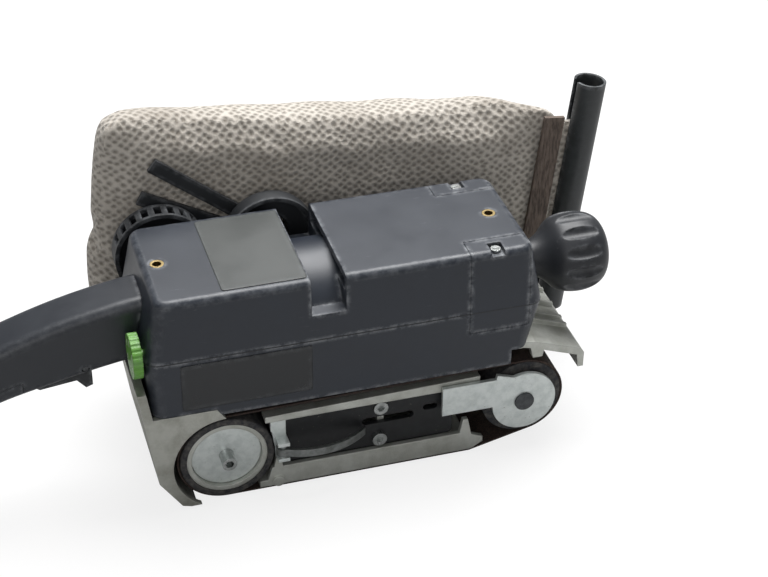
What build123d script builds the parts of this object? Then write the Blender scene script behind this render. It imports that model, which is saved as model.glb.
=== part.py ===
from build123d import *
import os
from math import atan2, asin, cos, degrees, hypot, radians, sin

# Hand-held electric belt sander with a dust bag. Millimetres, +Z up.
# Origin: centre of the sanding sole, on the belt's underside. +X towards the front knob,
# -Y towards the open side where the belt is changed, +Y towards the drive belt and dust bag.
os.makedirs("parts", exist_ok=True)

# ---- clearances -------------------------------------------------------------------------
running = 0.3        # between faces that turn or slide past each other
seam_gap = 0.15      # visible line round an inset cover
wall = 4.0           # housing wall

# ---- sanding belt and its drums (75 x 533 belt) --------------------------------------------
belt_width = 75.0
belt_thick = 1.2
belt_half = belt_width / 2
drum_x, drum_r = -84.5, 29.4          # radii are to the belt's outer face
drum_z = drum_r
roller_x, roller_z, roller_r = 97.3, 34.8, 26.4
sole_half = 65.5
drum_near = belt_half + 2.0           # near face of the drum and belt guides
tyre_r = drum_r - belt_thick - running
tyre_thick = 3.9
drum_core_r = tyre_r - tyre_thick
dish_r = drum_core_r - 3.3
drum_shaft_r = 7.0
roller_body_r = roller_r - belt_thick - running
axle_r = 6.0

# The belt's lower front run climbs from the sole's front edge to the roller.
run_length = hypot(roller_x - sole_half, roller_z)
run_slope = degrees(atan2(roller_z, roller_x - sole_half) - asin(roller_r / run_length))

# ---- housing ----------------------------------------------------------------------------------
top_z = 144.5
seam_z = 105.8
floor_z = 65.0
rear_floor_z = 69.0
front_floor_z = 75.0
step_x = -90.0
nose_x = 87.0
rear_top, front_top = -120.7, 98.1
rear_seam, front_seam = -128.5, 105.5
rear_low, front_low = -126.5, 98.2
half_seam = belt_half + 5.65          # the housing overhangs the belt by this on each side
half_top = half_seam - 2.15
corner_r, rim_r = 8.0, 4.0
valley_x0, valley_x1 = -33.7, -13.4
shelf_z = 122.0
motor_z = 100.0
hump_r = 39.7
cover_x0, cover_x1 = 60.0, 96.5
cover_inner_y = 26.0
cover_low_z = 92.0
cover_thick = 2.0
slot_x0, slot_x1 = 72.5, 80.5
slot_y = 31.0
slot_depth = 3.0
insert_x = (-111.7, 84.6)
insert_r, insert_hole_r, insert_length = 4.0, 2.5, 12.0

# ---- motor and drive ------------------------------------------------------------------------------
rotor_shaft_r = 5.0
armature_r = 22.0
stator_r = 34.0
stator_half = motor_z - floor_z - wall
stator_x0, stator_x1 = -8.0, 52.0
commutator_r = 13.0
brush_x = 76.0
fan_r = 29.0
fan_x0, fan_x1 = -50.0, -38.0
rotor_x0, rotor_x1 = -88.0, 94.3
plate_thick = 6.0
plate_top = 128.0
rear_plate_x, front_plate_x = -66.0, 88.0
bearing_r = 11.0
cross_x = -101.5
cross_r = 5.0
pinion_teeth, crown_teeth = 9, 18
tooth_pitch_r = 9.5
tooth_thick = 1.65
tooth_depth = 1.4
crown_pitch_r = tooth_pitch_r * crown_teeth / pinion_teeth
pulley_y0 = half_seam + 4.85
pulley_y1 = pulley_y0 + 6.0
boss_y1 = pulley_y0 - 0.5
cross_pulley_r, drum_pulley_r = 9.0, 18.0
drive_belt_thick = 2.4

# ---- frame --------------------------------------------------------------------------------------------
side_y0 = belt_half + 2.0
side_y1 = side_y0 + 5.0
beam_x0, beam_x1 = -52.0, 54.0
beam_z0, beam_z1 = 14.0, 50.0
beam_wall = 4.0
plate_near = belt_half - 1.5
beam_near = plate_near - 3.0
rail_near = belt_half + 2.0
guard_near = belt_half + 6.0
foot_z = 1.8
boss_r = 15.0

# ---- tension fork and lever ----------------------------------------------------------------------------
cheek_near, cheek_thick = belt_half + 5.0, 2.5
fork_bar_x, fork_bar_z = 66.0, 43.5
rod_r = 5.0
rod_length = 76.0
slide_travel = 6.0
lever_x, lever_y, lever_z = -52.5, -belt_half - 6.5, 32.0
lever_tip_x = -1.5
lever_height = 5.0
lever_pin_r = 2.0
lever_hub_r = 4.0

# ---- handle, trigger, dial, knob ---------------------------------------------------------------------------
handle_half = 16.0
handle_wall = 3.2
handle_top = [(-116, 133), (-150, 128), (-173.5, 122.4), (-202.5, 113), (-232, 101), (-256, 87)]
handle_low = [(-116, 93.5), (-150.5, 88.6), (-179, 82.7), (-207.5, 75.6), (-240, 59.5)]
cover_x, cover_height = -193.5, 10.0
trigger_half = 8.0
trigger_pivot = (-158.0, 91.5)
trigger_pin_r = 2.0
dial_y, dial_z, dial_r = -30.5, 106.7, 13.0
dial_x0, dial_x1 = -135.0, -129.6
knob_z = 108.0
cord_r = 4.2

# ---- dust side -------------------------------------------------------------------------------------------
cover_y = pulley_y1 + 3.8
cover_top_x, cover_top_z, cover_top_r = cross_x, 121.0, 27.5
cover_low_r = 24.0
elbow_x, elbow_z, elbow_r = -35.5, 121.5, 27.0
elbow_y = cover_y + 0.2
clip_y0 = elbow_y + running
clip_y1 = clip_y0 + 2.7
bag_x, bag_z, bag_tilt = 11.0, 117.0, 6.3
bag_depth = 56.0
bag_near_y = clip_y1 + 1.0
bag_far_y = bag_near_y + bag_depth
spigot_r, spigot_end = 14.0, bag_near_y + 14.0
bag_length, bag_height = 284.0, 140.0
tube_at = 156.0
tube_y, tube_r, tube_wall = bag_near_y + 10.0, 10.0, 1.6
tube_low, tube_high = -80.5, 82.7


def save(piece, name):
    """Label one finished piece and write its STEP file."""
    piece.part.label = name
    export_step(piece.part, f"parts/{name}.step")


def near_plane(y):
    """Plane facing -Y at the given y, with local x along +X and local y along +Z."""
    return Plane.XZ.offset(-y)


def along_x(x):
    """Plane facing +X at the given x, with local x along +Y and local y along +Z."""
    return Plane.YZ.offset(x)


def upper_form(inset):
    """Drafted block of the upper housing, drawn in by inset."""
    with BuildPart() as form:
        with BuildSketch(Plane.XY.offset(seam_z)):
            with Locations(((rear_seam + front_seam) / 2, 0)):
                Rectangle(front_seam - rear_seam - 2 * inset, 2 * (half_seam - inset))
        with BuildSketch(Plane.XY.offset(top_z - inset)):
            with Locations(((rear_top + front_top) / 2, 0)):
                Rectangle(front_top - rear_top - 2 * inset, 2 * (half_top - inset))
        loft()
        corners = form.edges().filter_by(lambda edge: abs(edge.tangent_at(0).Z) > 0.5)
        fillet(corners, corner_r - inset)
        fillet(form.faces().sort_by(Axis.Z)[-1].edges(), rim_r - inset * 0.9)
    return form.part


def lower_form(inset):
    """Stepped block of the lower housing, drawn in by inset below the seam."""
    with BuildPart() as form:
        with BuildSketch(Plane.XZ):
            with BuildLine():
                Polyline(
                    (rear_seam + inset, seam_z),
                    (rear_low + inset, rear_floor_z + inset),
                    (step_x + inset, rear_floor_z + inset),
                    (step_x + inset, floor_z + inset),
                    (nose_x - inset, floor_z + inset),
                    (nose_x - inset, front_floor_z + inset),
                    (front_low - inset, front_floor_z + inset),
                    (front_seam - inset, seam_z),
                    close=True,
                )
            make_face()
        extrude(amount=half_seam - inset, both=True)
        tall = form.edges().filter_by(lambda edge: abs(edge.tangent_at(0).Z) > 0.5)
        fillet(tall.filter_by(lambda edge: edge.length > 20), corner_r - inset)
    return form.part


def valley(grow):
    """Space above the motor hump between the two raised ends of the upper housing."""
    with BuildPart() as gap:
        with Locations(((valley_x0 + valley_x1) / 2, 0, shelf_z - grow)):
            Box(
                valley_x1 - valley_x0 + 2 * grow, 120, 60,
                align=(Align.CENTER, Align.CENTER, Align.MIN),
            )
        with BuildSketch(along_x(valley_x0 - grow - 1)):
            with Locations((0, motor_z)):
                Circle(hump_r - grow)
        extrude(amount=valley_x1 - valley_x0 + 2 * grow + 2, mode=Mode.SUBTRACT)
    return gap.part


outer_upper = upper_form(0)
outer_lower = lower_form(0)
skin_upper = upper_form(cover_thick)
skin_lower = lower_form(cover_thick)


def cover_zone(side, gap):
    """Block round one brush cover; side is -1 near or +1 far."""
    with BuildPart() as zone:
        with Locations(
            (
                (cover_x0 + cover_x1) / 2,
                side * (cover_inner_y + gap + 15),
                cover_low_z + gap + 75,
            )
        ):
            Box(
                cover_x1 - cover_x0 - 2 * gap, 30, 150,
                align=(Align.CENTER, Align.CENTER, Align.CENTER),
            )
        add(skin_upper, mode=Mode.SUBTRACT)
        add(skin_lower, mode=Mode.SUBTRACT)
    return zone.part


def screw_slot(side):
    """Recess across a brush cover in which its screw head sits."""
    with BuildPart() as recess:
        with Locations(
            ((slot_x0 + slot_x1) / 2, side * (slot_y + 7), top_z - slot_depth + 10)
        ):
            Box(slot_x1 - slot_x0, 14, 20)
    return recess.part


def bearing_boss(x, z, y0, y1, outer, inner):
    """Ring along Y that holds a bearing."""
    with BuildPart() as ring:
        with BuildSketch(near_plane(y1)):
            with Locations((x, z)):
                Circle(outer)
                Circle(inner, mode=Mode.SUBTRACT)
        extrude(amount=y1 - y0)
    return ring.part


cross_boss = bearing_boss(cross_x, motor_z, 30.0, half_top - 1, bearing_r + 3, bearing_r)


def drive_holes():
    """Holes through the walls for the cross shaft, the dial's shaft and the knob bolt."""
    with BuildPart() as holes:
        with BuildSketch(near_plane(60)):
            with Locations((cross_x, motor_z)):
                Circle(cross_r + 1)
        extrude(amount=24)
        with BuildSketch(along_x(dial_x0)):
            with Locations((dial_y, dial_z)):
                Circle(3.3)
        extrude(amount=16)
        with BuildSketch(along_x(90)):
            with Locations((0, knob_z)):
                Circle(4)
        extrude(amount=30)
    return holes.part


def make_upper_housing():
    with BuildPart() as upper_housing:
        add(outer_upper)
        add(upper_form(wall), mode=Mode.SUBTRACT)
        with BuildSketch(along_x(valley_x0 - wall)):
            with Locations((0, motor_z)):
                Circle(hump_r)
            with Locations((0, seam_z - 50)):
                Rectangle(100, 100, mode=Mode.SUBTRACT)
        extrude(amount=valley_x1 - valley_x0 + 2 * wall)
        with Locations(((valley_x0 + valley_x1) / 2, 0, (shelf_z + seam_z + 16) / 2)):
            Box(valley_x1 - valley_x0 + 2 * wall, 2 * half_top - 1, top_z - seam_z - 16)
        add(valley(0), mode=Mode.SUBTRACT)
        with BuildSketch(along_x(valley_x0 - wall - 1)):
            with Locations((0, motor_z)):
                Circle(hump_r - wall)
            with Locations((0, seam_z - wall)):
                Rectangle(2 * (half_seam - wall), 2 * (shelf_z - seam_z))
        extrude(amount=valley_x1 - valley_x0 + 2 * wall + 2, mode=Mode.SUBTRACT)
        with BuildSketch(Plane.XY.offset(top_z - insert_length - 2)):
            with Locations(*[(x, 0) for x in insert_x]):
                Circle(insert_r + 3)
        extrude(amount=insert_length + 1)
        with BuildSketch(Plane.XY.offset(top_z - insert_length)):
            with Locations(*[(x, 0) for x in insert_x]):
                Circle(insert_r)
        extrude(amount=insert_length, mode=Mode.SUBTRACT)
        with BuildSketch(Plane.XY.offset(top_z - wall - 8)):
            with Locations(*[((slot_x0 + slot_x1) / 2, side * 35.0) for side in (-1, 1)]):
                Circle(3.5)
        extrude(amount=9)
        for side in (-1, 1):
            add(cover_zone(side, 0), mode=Mode.SUBTRACT)
            add(screw_slot(side), mode=Mode.SUBTRACT)
        add(drive_holes(), mode=Mode.SUBTRACT)
        split(bisect_by=Plane.XY.offset(seam_z), keep=Keep.TOP)
    save(upper_housing, "upper_housing")


def make_lower_housing():
    with BuildPart() as lower_housing:
        add(outer_lower)
        add(lower_form(wall), mode=Mode.SUBTRACT)
        add(cross_boss)
        for side in (-1, 1):
            add(cover_zone(side, 0), mode=Mode.SUBTRACT)
        add(drive_holes(), mode=Mode.SUBTRACT)
        split(bisect_by=Plane.XY.offset(seam_z), keep=Keep.BOTTOM)
    save(lower_housing, "lower_housing")


def make_brush_covers():
    for side, name in ((-1, "brush_cover_near"), (1, "brush_cover_far")):
        with BuildPart() as brush_cover:
            add(outer_upper)
            add(outer_lower)
            add(cover_zone(side, seam_gap), mode=Mode.INTERSECT)
            add(screw_slot(side), mode=Mode.SUBTRACT)
        save(brush_cover, name)
    with BuildPart() as cover_screws:
        for side in (-1, 1):
            with BuildSketch(Plane.XY.offset(top_z - slot_depth)):
                with Locations(((slot_x0 + slot_x1) / 2, side * 35.0)):
                    Circle(3.0)
                    Rectangle(4.2, 0.8, mode=Mode.SUBTRACT)
            extrude(amount=1.8)
            with BuildSketch(Plane.XY.offset(top_z - slot_depth)):
                with Locations(((slot_x0 + slot_x1) / 2, side * 35.0)):
                    Circle(1.5)
            extrude(amount=0.8)
    save(cover_screws, "cover_screws")


def make_thread_inserts():
    with BuildPart() as thread_inserts:
        with BuildSketch(Plane.XY.offset(top_z - insert_length)):
            with Locations(*[(x, 0) for x in insert_x]):
                Circle(insert_r)
                Circle(insert_hole_r, mode=Mode.SUBTRACT)
        extrude(amount=insert_length)
    save(thread_inserts, "thread_inserts")


def make_labels():
    with BuildPart() as top_label:
        with BuildSketch(Plane.XY.offset(top_z)):
            with Locations((-58.7, 0)):
                RectangleRounded(48.5, 73, 2)
        extrude(amount=0.35)
    save(top_label, "top_label")
    with BuildPart() as side_label:
        with BuildSketch(near_plane(-half_seam)):
            with Locations((-71.7, 87.5)):
                RectangleRounded(75.5, 31, 1.5)
        extrude(amount=0.35)
    save(side_label, "side_label")


def handle_form(inset):
    """Curved stick handle; its outline is drawn in by inset on every side."""
    with BuildPart() as form:
        with BuildSketch(Plane.XZ):
            with BuildLine():
                upper = Spline(*[(x + inset, z - inset) for x, z in handle_top])
                lower = Spline(*[(x + inset, z + inset) for x, z in handle_low])
                Line(upper @ 0, lower @ 0)
                Line(upper @ 1, lower @ 1)
            make_face()
        extrude(amount=handle_half - inset, both=True)
        if not inset:
            long_edges = form.edges().filter_by(lambda edge: edge.length > 60)
            fillet(long_edges, 6)
    return form.part


def lower_shell_zone(gap):
    """Space below the handle's part line."""
    with BuildPart() as zone:
        with BuildSketch(Plane.XZ):
            with BuildLine():
                bottom = Spline(*handle_low)
                raised = Spline(*[(x, z + cover_height) for x, z in handle_low])
                Line(bottom @ 0, raised @ 0)
                Line(bottom @ 1, raised @ 1)
            make_face()
        extrude(amount=handle_half + 1, both=True)
        with Locations((cover_x - 50 - gap, 0, 80)):
            Box(100, 60, 100, mode=Mode.INTERSECT)
    return zone.part


def trigger_slot():
    """Opening in the handle's underside for the trigger."""
    with BuildPart() as slot:
        with Locations(((-152.5 - 190.5) / 2, 0, 82)):
            Box(38, 2 * (trigger_half + 0.6), 30)
    return slot.part


def make_handle():
    with BuildPart() as handle_grip:
        add(handle_form(0))
        add(outer_upper, mode=Mode.SUBTRACT)
        add(outer_lower, mode=Mode.SUBTRACT)
        add(handle_form(handle_wall), mode=Mode.SUBTRACT)
        add(lower_shell_zone(0), mode=Mode.SUBTRACT)
        add(trigger_slot(), mode=Mode.SUBTRACT)
        with BuildSketch(near_plane(handle_half)):
            with Locations(trigger_pivot):
                Circle(trigger_pin_r + running)
        extrude(amount=2 * handle_half, mode=Mode.SUBTRACT)
        with BuildSketch(cord_plane()):
            Circle(cord_r + 4)
        extrude(amount=8, both=True, mode=Mode.SUBTRACT)
    save(handle_grip, "handle_grip")
    with BuildPart() as handle_cover:
        add(handle_form(0))
        add(lower_shell_zone(seam_gap), mode=Mode.INTERSECT)
        add(handle_form(handle_wall), mode=Mode.SUBTRACT)
        with BuildSketch(cord_plane()):
            Circle(cord_r + 4)
        extrude(amount=8, both=True, mode=Mode.SUBTRACT)
    save(handle_cover, "handle_cover")


def cord_plane():
    """Plane across the handle's rear end, facing out along the cord's way in."""
    upper_x, upper_z = handle_top[-1]
    lower_x, lower_z = handle_low[-1]
    middle = ((upper_x + lower_x) / 2, 0, (upper_z + lower_z) / 2)
    outward = (lower_z - upper_z, 0, upper_x - lower_x)
    return Plane(origin=middle, x_dir=(0, 1, 0), z_dir=outward)


def make_cord_inlet():
    with BuildPart() as cord_inlet:
        with BuildSketch(cord_plane().offset(-6)):
            Circle(cord_r + 4)
        extrude(amount=9)
        with BuildSketch(cord_plane()):
            Circle(cord_r + 6)
        extrude(amount=3)
        with BuildSketch(cord_plane().offset(-6)):
            Circle(cord_r)
        extrude(amount=9, mode=Mode.SUBTRACT)
    save(cord_inlet, "cord_inlet")


def make_switch():
    with BuildPart() as switch_block:
        with Locations((-171, 0, 106)):
            Box(28, 2 * (handle_half - handle_wall), 17)
    save(switch_block, "switch_block")
    pivot_x, pivot_z = trigger_pivot
    with BuildPart() as trigger:
        with BuildSketch(Plane.XZ):
            with BuildLine():
                Polyline(
                    (pivot_x + 4, pivot_z + 3),
                    (pivot_x + 4, 75),
                    (pivot_x, 73.5),
                    (pivot_x - 5, 79.5),
                    (pivot_x - 26, 77),
                    (pivot_x - 29, 79),
                    (pivot_x - 28, pivot_z - 1),
                    (pivot_x - 3, pivot_z + 3),
                    close=True,
                )
            make_face()
        extrude(amount=trigger_half, both=True)
        with BuildSketch(Plane.XZ):
            with Locations(trigger_pivot):
                Circle(trigger_pin_r)
        extrude(amount=handle_half - 1.5, both=True)
    save(trigger, "trigger")


def make_speed_control():
    with BuildPart() as speed_dial:
        with BuildSketch(along_x(dial_x0)):
            with Locations((dial_y, dial_z)):
                Circle(dial_r)
                with PolarLocations(dial_r + 0.6, 24):
                    Circle(1.1, mode=Mode.SUBTRACT)
        extrude(amount=dial_x1 - dial_x0)
        with BuildSketch(along_x(dial_x1)):
            with Locations((dial_y, dial_z)):
                Circle(3)
        extrude(amount=-119.5 - dial_x1)
    save(speed_dial, "speed_dial")
    with BuildPart() as speed_board:
        with Locations((-115, -20, 73 + 22)):
            Box(2, 30, 44)
        with BuildSketch(along_x(-119)):
            with Locations((dial_y, dial_z)):
                Circle(7)
        extrude(amount=3)
    save(speed_board, "speed_board")


def make_front_knob():
    with BuildPart() as front_knob:
        with BuildSketch(Plane.XZ):
            with BuildLine():
                side = Spline(
                    (100, knob_z + 12),
                    (114, knob_z + 11.5),
                    (120, knob_z + 15),
                    (127, knob_z + 21.5),
                    (134, knob_z + 23.8),
                    (146, knob_z + 23.6),
                    (154, knob_z + 20),
                    (159, knob_z + 10),
                    (160, knob_z),
                )
                Line(side @ 1, (100, knob_z))
                Line((100, knob_z), side @ 0)
            make_face()
        revolve(axis=Axis((0, 0, knob_z), (1, 0, 0)))
        with BuildSketch(along_x(121)):
            with Locations((0, knob_z)):
                with PolarLocations(27.0, 12):
                    Circle(5)
        extrude(amount=40, mode=Mode.SUBTRACT)
        with BuildSketch(along_x(99)):
            with Locations((0, knob_z)):
                Circle(4)
        extrude(amount=44, mode=Mode.SUBTRACT)
        add(outer_upper, mode=Mode.SUBTRACT)
        add(outer_lower, mode=Mode.SUBTRACT)
    save(front_knob, "front_knob")
    with BuildPart() as knob_bolt:
        with BuildSketch(along_x(100 - wall)):
            with Locations((0, knob_z)):
                Circle(4)
        extrude(amount=143 - 100 + wall)
        with BuildSketch(along_x(95.5)):
            with Locations((0, knob_z)):
                RegularPolygon(7.5, 6)
        extrude(amount=4.3)
        add(front_end_skin(), mode=Mode.SUBTRACT)
    save(knob_bolt, "knob_bolt")


def front_end_skin():
    """The housing's front wall without its bolt hole, so the nut stays behind it."""
    with BuildPart() as skin:
        with BuildSketch(along_x(85)):
            with Locations((0, knob_z)):
                Circle(30)
        extrude(amount=30)
        with BuildSketch(along_x(85)):
            with Locations((0, knob_z)):
                Circle(4)
        extrude(amount=30, mode=Mode.SUBTRACT)
        add(upper_form(wall), mode=Mode.SUBTRACT)
        add(lower_form(wall), mode=Mode.SUBTRACT)
    return skin.part


def loop_sketch(inset):
    """Sketch of the sanding belt's loop, drawn in from its outer face by inset."""
    with BuildSketch(Plane.XZ) as loop:
        with Locations((drum_x, drum_z)):
            Circle(drum_r - inset)
        with Locations((roller_x, roller_z)):
            Circle(roller_r - inset)
        with Locations((0, inset + 1)):
            Rectangle(2 * sole_half, 2)
        make_hull()
    return loop.sketch


def make_sanding_belt():
    with BuildPart() as sanding_belt:
        with BuildSketch(Plane.XZ):
            add(loop_sketch(0))
            add(loop_sketch(belt_thick), mode=Mode.SUBTRACT)
        extrude(amount=belt_half, both=True)
    save(sanding_belt, "sanding_belt")


def make_main_frame():
    beam_mid_x = (beam_x0 + beam_x1) / 2
    beam_mid_z = (beam_z0 + beam_z1) / 2
    with BuildPart() as main_frame:
        with BuildSketch(near_plane(side_y1)):
            with BuildLine():
                Polyline(
                    (-132.2, rear_floor_z),
                    (-125.6, 22.3),
                    (-113, 3.5),
                    (beam_x1 - 8, 3.5),
                    (beam_x1, 12),
                    (beam_x1, floor_z),
                    (step_x, floor_z),
                    (step_x, rear_floor_z),
                    close=True,
                )
            make_face()
        extrude(amount=side_y1 - side_y0)
        with BuildSketch(near_plane(side_y0)):
            with Locations((beam_mid_x, beam_mid_z)):
                Rectangle(beam_x1 - beam_x0, beam_z1 - beam_z0)
                Rectangle(
                    beam_x1 - beam_x0 - 2 * beam_wall,
                    beam_z1 - beam_z0 - 2 * beam_wall,
                    mode=Mode.SUBTRACT,
                )
        extrude(amount=side_y0 + beam_near)
        with Locations((10, (side_y0 - beam_near) / 2, beam_mid_z)):
            Box(4, side_y0 + beam_near, beam_z1 - beam_z0)
        add(rod(rod_r + 0.4, 30), mode=Mode.SUBTRACT)
        add(bearing_boss(drum_x, drum_z, side_y1, boss_y1, boss_r, bearing_r + 1))
        with BuildSketch(near_plane(side_y1)):
            with Locations((drum_x, drum_z)):
                Circle(bearing_r + 1)
        extrude(amount=side_y1 - side_y0, mode=Mode.SUBTRACT)
    save(main_frame, "main_frame")


def rod(radius, extra):
    """Slide rod of the fork, parallel to the belt's lower front run."""
    direction = Vector(-cos(radians(run_slope)), 0, -sin(radians(run_slope)))
    start = Vector(fork_bar_x, 0, fork_bar_z)
    with BuildPart() as shaft:
        with BuildSketch(Plane(origin=start, z_dir=direction)):
            Circle(radius)
        extrude(amount=rod_length + extra)
    return shaft.part


def make_frame_trim():
    with BuildPart() as inner_plate:
        with BuildSketch(near_plane(-beam_near)):
            with Locations(((beam_x0 + beam_x1) / 2, 32.5)):
                RectangleRounded(beam_x1 - beam_x0, 33, 3)
            with Locations((13.7, 35)):
                SlotOverall(32, 5, mode=Mode.SUBTRACT)
            with Locations((40, 38)):
                SlotOverall(9, 4, mode=Mode.SUBTRACT)
        extrude(amount=plate_near - beam_near)
    save(inner_plate, "inner_plate")
    with BuildPart() as frame_screws:
        with BuildSketch(near_plane(-plate_near)):
            with Locations((8.5, 45.2), (8.0, 22.0)):
                Circle(4.4)
                RegularPolygon(2.2, 6, mode=Mode.SUBTRACT)
        extrude(amount=3)
        with BuildSketch(near_plane(-plate_near)):
            with Locations((8.5, 45.2), (8.0, 22.0)):
                Circle(3.4)
        extrude(amount=1)
    save(frame_screws, "frame_screws")
    with BuildPart() as upper_rail:
        with BuildSketch(near_plane(-30)):
            with BuildLine():
                Polyline(
                    (-61.5, beam_z1),
                    (-61.5, 54),
                    (69.5, 57),
                    (69.5, beam_z1 + 1.5),
                    (beam_x1, beam_z1),
                    close=True,
                )
            make_face()
        extrude(amount=rail_near - 30)
    save(upper_rail, "upper_rail")


def make_lever():
    with BuildPart() as lever_bracket:
        with BuildSketch(near_plane(-plate_near)):
            with Locations((-54, 46.5)):
                Rectangle(9, 7)
            with BuildLine():
                Polyline((-58, 44), (-55, 24), (-49.5, 24), (-49.5, 44), close=True)
            make_face()
        extrude(amount=rail_near - plate_near)
        for z in (lever_z + 5.5, lever_z - 5.5):
            with Locations((lever_x, (lever_y - 3 - plate_near) / 2, z)):
                Box(7, plate_near * -1 - lever_y + 3, 2.4)
        with Locations((lever_x, lever_y, lever_z)):
            Cylinder(lever_pin_r, 14)
    save(lever_bracket, "lever_bracket")
    mid_x = (lever_x + lever_tip_x) / 2
    with BuildPart() as tension_lever:
        with BuildSketch(Plane.XY.offset(lever_z - lever_height / 2)):
            with BuildLine():
                outer = ThreePointArc((lever_x, lever_y - 3), (mid_x, -51.5), (lever_tip_x, -40.5))
                inner = ThreePointArc((lever_x, lever_y - 0.5), (mid_x, -49), (lever_tip_x, -38.5))
                Line(outer @ 0, inner @ 0)
                Line(outer @ 1, inner @ 1)
            make_face()
            with Locations((lever_x, lever_y)):
                Circle(lever_hub_r)
                Circle(lever_pin_r + running, mode=Mode.SUBTRACT)
        extrude(amount=lever_height)
    save(tension_lever, "tension_lever")


def make_platen():
    pad_top = belt_thick + 1.5
    with BuildPart() as platen_pad:
        with Locations((0, 0, (belt_thick + pad_top) / 2)):
            Box(2 * sole_half, belt_width, pad_top - belt_thick)
    save(platen_pad, "platen_pad")
    with BuildPart() as platen_shoe:
        with Locations((0, -1, (pad_top + 7) / 2)):
            Box(2 * sole_half, belt_width + 2, 7 - pad_top)
        with BuildSketch(near_plane(-plate_near - 0.5)):
            with BuildLine():
                Polyline((-62, pad_top), (-58, 16), (60, 16), (73, 10.5), (73, 7), (66, pad_top), close=True)
            make_face()
            with BuildLine():
                Polyline((-59, 6), (-49, 6), (-53, 22.5), (-55.5, 22.5), close=True)
            make_face()
            with BuildLine():
                Polyline((58, 15), (66, 12), (63, 26), (60, 26), close=True)
            make_face()
        extrude(amount=rail_near - plate_near - 0.5)
        with Locations((0, 35, 10.5)):
            Box(90, 4, 7)
        with Locations((0, -20, 10.5)):
            Box(90, 4, 7)
        with BuildSketch(near_plane(-rail_near)):
            with Locations((-54.5, 6)):
                Circle(3.5)
        extrude(amount=1.5)
    save(platen_shoe, "platen_shoe")


def make_guards():
    with BuildPart() as rear_guard:
        with BuildSketch(near_plane(side_y0)):
            with BuildLine():
                Polyline(
                    (-134.7, 87.5),
                    (-125.6, 22.3),
                    (-113, foot_z + 1.5),
                    (-108, foot_z),
                    (-104, foot_z),
                    (-110, 7),
                    (-119, 23),
                    (-126.7, rear_floor_z),
                    (-129.5, 87.5),
                    close=True,
                )
            make_face()
        extrude(amount=side_y0 + guard_near)
        with BuildSketch(near_plane(-rail_near - 0.5)):
            with BuildLine():
                Polyline(
                    (-132.2, rear_floor_z),
                    (-125.6, 22.3),
                    (-113, foot_z + 1.5),
                    (-108, foot_z),
                    (-98, foot_z),
                    (-70, 40),
                    (step_x, rear_floor_z),
                    close=True,
                )
            make_face()
            with Locations((drum_x, drum_z)):
                Circle(drum_r + 3, mode=Mode.SUBTRACT)
            with Locations((drum_x + 40, drum_z)):
                Rectangle(80, 100, mode=Mode.SUBTRACT)
        extrude(amount=guard_near - rail_near - 0.5)
        add(outer_lower, mode=Mode.SUBTRACT)
    save(rear_guard, "rear_guard")
    with BuildPart() as nose_guard:
        with BuildSketch(near_plane(side_y1)):
            with BuildLine():
                Polyline(
                    (nose_x + 0.5, 71),
                    (nose_x + 0.5, front_floor_z),
                    (front_low, front_floor_z),
                    (104, 74),
                    (133.5, 63.5),
                    (136, 60),
                    (136, 50),
                    (132.5, 50),
                    (131.5, 59),
                    (103, 69.5),
                    (97, 71),
                    close=True,
                )
            make_face()
        extrude(amount=side_y1 + 38)
        with BuildSketch(near_plane(-33)):
            with BuildLine():
                Polyline((101, 71), (110, 68), (109, 62.5), (103, 62.5), close=True)
            make_face()
        extrude(amount=5)
        for y in (-15, -7, 8, 24):
            with BuildSketch(near_plane(y + 1)):
                with BuildLine():
                    Polyline((106, 72), (106, 75), (110, 75), (133, 66.5), (133, 62), close=True)
                make_face()
            extrude(amount=2)
    save(nose_guard, "nose_guard")


def disc_along_y(x, z, radius, y0, y1):
    """Plain disc with its axis along Y."""
    with BuildPart() as disc:
        with BuildSketch(near_plane(y1)):
            with Locations((x, z)):
                Circle(radius)
        extrude(amount=y1 - y0)
    return disc.part


def make_drum():
    face_y = -drum_near
    dish_y0, dish_y1 = face_y + 3.5, face_y + 5.0
    with BuildPart() as drum_tyre:
        add(disc_along_y(drum_x, drum_z, tyre_r, face_y, belt_half))
        add(disc_along_y(drum_x, drum_z, drum_core_r, face_y, belt_half), mode=Mode.SUBTRACT)
        rims = drum_tyre.edges().filter_by(GeomType.CIRCLE)
        fillet(rims.group_by(SortBy.RADIUS)[-1], 1.0)
    save(drum_tyre, "drum_tyre")
    with BuildPart() as drum_core:
        add(disc_along_y(drum_x, drum_z, drum_core_r, face_y + 0.6, belt_half))
        add(disc_along_y(drum_x, drum_z, dish_r + 0.3, face_y, dish_y1), mode=Mode.SUBTRACT)
        add(disc_along_y(drum_x, drum_z, 19.5, dish_y1 + 5, belt_half - 6), mode=Mode.SUBTRACT)
        add(disc_along_y(drum_x, drum_z, drum_shaft_r + 5, dish_y1, belt_half))
        add(disc_along_y(drum_x, drum_z, drum_shaft_r, face_y, belt_half), mode=Mode.SUBTRACT)
    save(drum_core, "drum_core")
    with BuildPart() as drum_dish:
        add(disc_along_y(drum_x, drum_z, dish_r, dish_y0, dish_y1))
        add(disc_along_y(drum_x, drum_z, 4.3, dish_y0, dish_y1), mode=Mode.SUBTRACT)
    save(drum_dish, "drum_dish")
    with BuildPart() as drum_shaft:
        add(disc_along_y(drum_x, drum_z, drum_shaft_r, dish_y1, pulley_y1 - 1))
        add(disc_along_y(drum_x, drum_z, 4.3, -45.5, dish_y1))
        with BuildSketch(near_plane(-45.5)):
            with Locations((drum_x, drum_z)):
                RegularPolygon(2.6, 6)
        extrude(amount=-5, mode=Mode.SUBTRACT)
    save(drum_shaft, "drum_shaft")


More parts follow.
